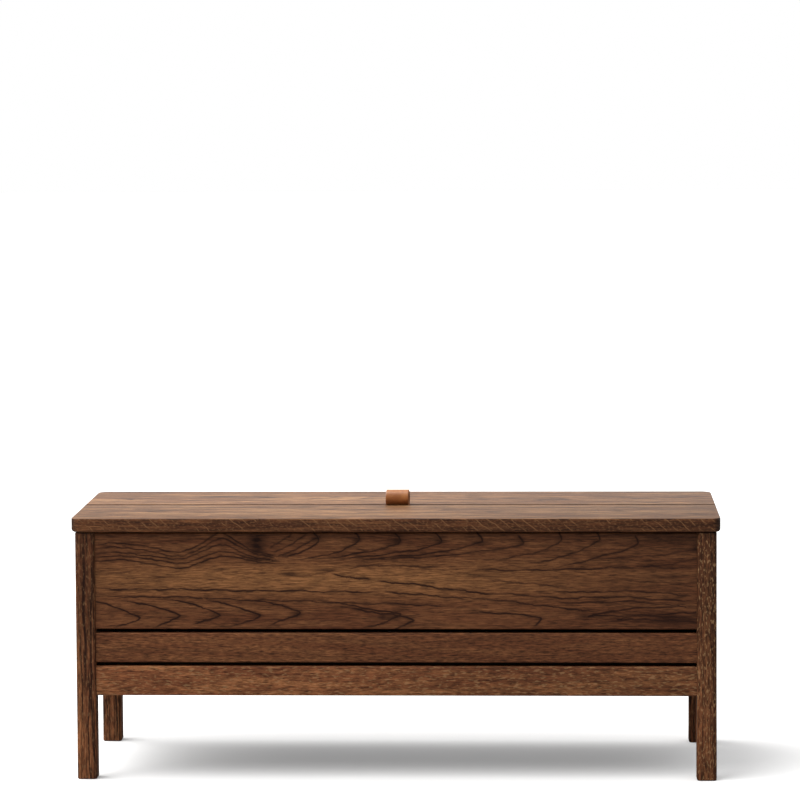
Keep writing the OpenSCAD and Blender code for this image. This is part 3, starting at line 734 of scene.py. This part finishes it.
for name, front, seed in (("lid_front_board", True, 71.0), ("lid_rear_board", False, 77.7)):
    values = dict(oakBase, **lidOak)
    values["seed"] = seed
    # the rear board gets a stronger painted sheen on its top
    if not front:
        values["upper"] = (2.12, 2.90, 3.60)
    middle = (low(name) + high(name)) / 2
    values["pith"] = (middle[1] + lidOak["pith"][0], middle[2] + lidOak["pith"][1])
    lidBoard(name, oakMaterial("oak_" + name, values), front)

print("stage: strap")
# the leather is a touch thinner than its CAD solid, so that it keeps clear of the joint
strapSet = dict(thick=2.2, width=39.6, shift=-2.2, skew=1.4, bend=2.5, edge=0.7)


def strapPath(values):
    # the middle line of the leather in the plane across the bench: it comes from one tail, bends up
    # into the joint, runs along a tangent to the loop's circle, round it, and back down to the other tail
    lowest, highest = low("leather_strap"), high("leather_strap")
    seat, under = high("lid_front_board")[2], low("lid_front_board")[2]
    half = values["thick"] * mm / 2
    radius = (high("leather_strap")[2] - seat) * 0.463 - half
    centre = highest[2] - 0.2 * mm - radius - half
    neck = math.hypot(half, centre - seat)
    angle = math.atan2(seat - centre, half) + math.acos(radius / neck)
    around = np.linspace(angle, math.pi / 2, 30)
    loop = np.stack([radius * np.cos(around), centre + radius * np.sin(around)], 1)
    bend = values["bend"] * mm
    turn = np.radians(np.linspace(270, 180, 8))
    base = under - half - 0.05 * mm
    foot = np.stack([half + bend + bend * np.cos(turn), base + bend + bend * np.sin(turn)], 1)
    tail = np.stack([np.linspace(highest[1] - 0.3 * mm, foot[0, 0], 8)[:-1], np.full(7, base)], 1)
    rise = np.linspace(foot[-1], (half, seat), 10)[1:]
    slope = np.linspace((half, seat), loop[0], 8)[1:-1]
    right = np.concatenate([tail, foot, rise, slope, loop])
    left = right[:-1][::-1] * (-1, 1)
    return np.concatenate([right, left])


def strapPiece(material, values):
    # a flat band with rounded edges, carried along the path. At each point of the path its section
    # lies across the bench's length and along the path's normal.
    line = strapPath(values)
    along = np.gradient(line, axis=0)
    along /= np.linalg.norm(along, axis=1)[:, None]
    normal = np.stack([along[:, 1], -along[:, 0]], 1)
    edge = values["edge"] * mm
    section, _ = roundedOutline(values["width"] * mm, values["thick"] * mm, [edge] * 4, (16, 1, 16, 1), 4)
    travel = np.linspace(-1, 1, len(line))
    skew = values["skew"] * mm * np.clip(-travel * 2.2, -1, 1)
    grid = np.zeros((len(line), len(section), 3))
    grid[..., 0] = section[None, :, 0] + values["shift"] * mm + skew[:, None]
    grid[..., 1] = line[:, None, 0] + normal[:, None, 0] * section[None, :, 1]
    grid[..., 2] = line[:, None, 1] + normal[:, None, 1] * section[None, :, 1]
    rings, count = grid.shape[:2]
    index = np.arange(rings * count).reshape(rings, count)
    ahead = np.roll(index, -1, 1)
    quads = np.stack([index[:-1], ahead[:-1], ahead[1:], index[1:]], -1).reshape(-1, 4)
    faces = quads.tolist() + [index[0][::-1].tolist(), index[-1].tolist()]
    piece = newMesh("strap_leather_band", grid.reshape(-1, 3), faces, material, 60)
    share = np.abs(section[:, 0]) / (values["width"] * mm / 2)
    addFigure(piece, "cut", np.tile(np.clip((share - 0.97) / 0.03, 0, 1), rings))
    place(piece, "leather_strap", "lid", "strap_leather")
    return piece


leatherSet = dict(light=(0.47, 0.185, 0.055), dark=(0.33, 0.112, 0.030), cut=(0.26, 0.11, 0.045),
                  rough=0.36, shine=0.9, grain=900, bump=0.35)


def leatherMaterial(values):
    material, tree, shader = newMaterial("leather")
    place = node(tree, "TexCoord", 3)
    cut = node(tree, "Attribute", 2, settings=dict(attribute_name="cut"))
    cloud = noise(tree, place, 60, 3)
    hair = noise(tree, place, 700, 2)
    colour = mixColour(tree, remap(tree, cloud, 0.3, 0.7), values["dark"], values["light"])
    colour = mixColour(tree, remap(tree, hair, 0.5, 0.75, 0.0, 0.25), colour, values["dark"])
    colour = mixColour(tree, maths(tree, "MULTIPLY", cut, 0.8), colour, values["cut"])
    cells = node(tree, "TexVoronoi", 0, Vector=place, Scale=values["grain"])
    feed(tree, shader.inputs["Base Color"], colour)
    feed(tree, shader.inputs["Roughness"], maths(tree, "MULTIPLY_ADD", hair, 0.2, values["rough"] - 0.1))
    pores = maths(tree, "ADD", cells, hair)
    feed(tree, shader.inputs["Normal"], bumped(tree, pores, values["bump"], 0.0002))
    shader.inputs["Specular IOR Level"].default_value = values["shine"]
    return material


strapPiece(leatherMaterial(leatherSet), strapSet)

print("stage: inner parts and hardware")


def metalMaterial(name, colour, rough, brushed):
    material, tree, shader = newMaterial(name)
    place = node(tree, "TexCoord", 3)
    lines = noise(tree, stretched(tree, place, 40, 2500, brushed), 1, 2)
    spots = noise(tree, place, 90, 3)
    worn = remap(tree, spots, 0.45, 0.75)
    bright = tuple(min(1, channel * 1.7) for channel in colour)
    feed(tree, shader.inputs["Base Color"], mixColour(tree, worn, colour, bright))
    feed(tree, shader.inputs["Roughness"], maths(tree, "MULTIPLY_ADD", lines, 0.25, rough - 0.1))
    feed(tree, shader.inputs["Normal"], bumped(tree, lines, 0.15, 0.0001))
    shader.inputs["Metallic"].default_value = 1
    return material


def feltMaterial():
    material, tree, shader = newMaterial("felt")
    place = node(tree, "TexCoord", 3)
    fuzz = noise(tree, place, 2600, 3, 0.7)
    feed(tree, shader.inputs["Base Color"], mixColour(tree, fuzz, (0.02, 0.018, 0.016), (0.10, 0.09, 0.08)))
    feed(tree, shader.inputs["Normal"], bumped(tree, fuzz, 0.6, 0.0004))
    shader.inputs["Roughness"].default_value = 0.95
    shader.inputs["Sheen Weight"].default_value = 0.4
    return material


def giveMaterial(name, material):
    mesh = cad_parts[name].data
    mesh.materials.clear()
    mesh.materials.append(material)


hingeSteel = metalMaterial("hinge_steel", (0.20, 0.17, 0.13), 0.42, 3)
screwSteel = metalMaterial("screw_steel", (0.42, 0.41, 0.38), 0.35, 8)
felt = feltMaterial()
for index, (name, piece) in enumerate(sorted(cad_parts.items())):
    seed = 90.0 + index * 1.7
    if name.endswith("batten"):
        values = dict(oakBase, **innerOak)
        values.update(seed=seed, grain="y")
        centre = (low(name) + high(name)) / 2
        values["pith"] = (-centre[0] + 0.03, centre[2] - 0.08)
        giveMaterial(name, oakMaterial("oak_" + name, values))
    elif name.endswith("cleat"):
        values = dict(oakBase, **innerOak)
        values.update(seed=seed, grain="x" if name.startswith(("front", "rear")) else "y")
        giveMaterial(name, oakMaterial("oak_" + name, values))
    elif name == "bottom_panel":
        values = dict(oakBase, **bottomOak)
        values["seed"] = seed
        giveMaterial(name, oakMaterial("oak_bottom", values))
    elif name.endswith("dowels"):
        values = dict(oakBase, **beech)
        values.update(seed=seed, grain="x" if name.startswith(("front", "rear")) else "y")
        giveMaterial(name, oakMaterial("beech_" + name, values))
    elif name == "lid_bumpers":
        giveMaterial(name, felt)
    elif "leaf" in name:
        giveMaterial(name, hingeSteel)
    elif "screws" in name or "pin" in name:
        giveMaterial(name, screwSteel)

print("stage: finish")
